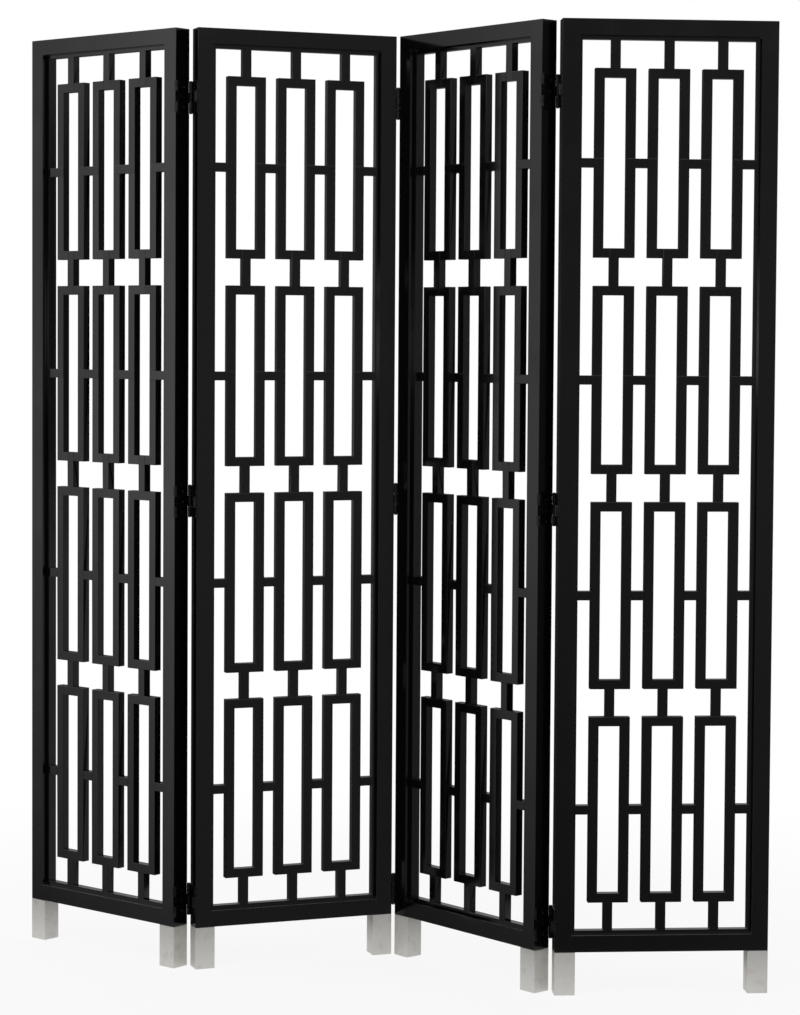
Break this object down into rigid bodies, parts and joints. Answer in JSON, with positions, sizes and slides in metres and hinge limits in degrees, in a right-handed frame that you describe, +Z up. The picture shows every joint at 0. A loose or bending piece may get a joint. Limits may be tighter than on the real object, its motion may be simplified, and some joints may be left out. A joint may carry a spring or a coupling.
{
  "type": "folding screen",
  "caption": "Free-standing folding screen of hinged panels, each an open lattice of tall rectangular rings in a black lacquered frame on brushed metal feet.",
  "frame": {"origin": "on the floor, at the middle of the box round the standing screen", "axes": "+X from the first panel to the fourth, -Y towards the viewer, +Z up"},
  "size_m": [1.4872, 0.287, 1.8],
  "materials": {
    "black_lacquer": "black gloss lacquer over hardwood",
    "brushed_steel": "brushed along its height",
    "blackened_steel": "black, satin"
  },
  "bodies": {
    "panel_1": {"panel_1_left_stile": "black_lacquer", "panel_1_right_stile": "black_lacquer", "panel_1_top_rail": "black_lacquer", "panel_1_bottom_rail": "black_lacquer", "panel_1_lattice": "black_lacquer", "panel_1_left_foot": "brushed_steel", "panel_1_right_foot": "brushed_steel", "hinge_1_2_bottom_left_leaf": "blackened_steel", "hinge_1_2_bottom_pin": "blackened_steel", "hinge_1_2_middle_left_leaf": "blackened_steel", "hinge_1_2_middle_pin": "blackened_steel", "hinge_1_2_top_left_leaf": "blackened_steel", "hinge_1_2_top_pin": "blackened_steel"},
    "panel_2": {"panel_2_left_stile": "black_lacquer", "panel_2_right_stile": "black_lacquer", "panel_2_top_rail": "black_lacquer", "panel_2_bottom_rail": "black_lacquer", "panel_2_lattice": "black_lacquer", "panel_2_left_foot": "brushed_steel", "panel_2_right_foot": "brushed_steel", "hinge_1_2_bottom_right_leaf": "blackened_steel", "hinge_1_2_middle_right_leaf": "blackened_steel", "hinge_1_2_top_right_leaf": "blackened_steel", "hinge_2_3_bottom_left_leaf": "blackened_steel", "hinge_2_3_bottom_pin": "blackened_steel", "hinge_2_3_middle_left_leaf": "blackened_steel", "hinge_2_3_middle_pin": "blackened_steel", "hinge_2_3_top_left_leaf": "blackened_steel", "hinge_2_3_top_pin": "blackened_steel"},
    "panel_3": {"panel_3_left_stile": "black_lacquer", "panel_3_right_stile": "black_lacquer", "panel_3_top_rail": "black_lacquer", "panel_3_bottom_rail": "black_lacquer", "panel_3_lattice": "black_lacquer", "panel_3_left_foot": "brushed_steel", "panel_3_right_foot": "brushed_steel", "hinge_2_3_bottom_right_leaf": "blackened_steel", "hinge_2_3_middle_right_leaf": "blackened_steel", "hinge_2_3_top_right_leaf": "blackened_steel", "hinge_3_4_bottom_left_leaf": "blackened_steel", "hinge_3_4_bottom_pin": "blackened_steel", "hinge_3_4_middle_left_leaf": "blackened_steel", "hinge_3_4_middle_pin": "blackened_steel", "hinge_3_4_top_left_leaf": "blackened_steel", "hinge_3_4_top_pin": "blackened_steel"},
    "panel_4": {"panel_4_left_stile": "black_lacquer", "panel_4_right_stile": "black_lacquer", "panel_4_top_rail": "black_lacquer", "panel_4_bottom_rail": "black_lacquer", "panel_4_lattice": "black_lacquer", "panel_4_left_foot": "brushed_steel", "panel_4_right_foot": "brushed_steel", "hinge_3_4_bottom_right_leaf": "blackened_steel", "hinge_3_4_middle_right_leaf": "blackened_steel", "hinge_3_4_top_right_leaf": "blackened_steel"}
  },
  "joints": [
    {"name": "fold_1_2", "type": "hinge", "parent": "panel_1", "child": "panel_2", "pos_m": [-0.35821, -0.10383, 0.9], "axis": [0, 0, 1], "range_deg": [-59.6, 118.4]},
    {"name": "fold_2_3", "type": "hinge", "parent": "panel_2", "child": "panel_3", "pos_m": [-0.00902, 0.10693, 0.9], "axis": [0, 0, -1], "range_deg": [-69.4, 108.6]},
    {"name": "fold_3_4", "type": "hinge", "parent": "panel_3", "child": "panel_4", "pos_m": [0.35338, -0.08023, 0.9], "axis": [0, 0, 1], "range_deg": [-53.4, 124.6]}
  ]
}
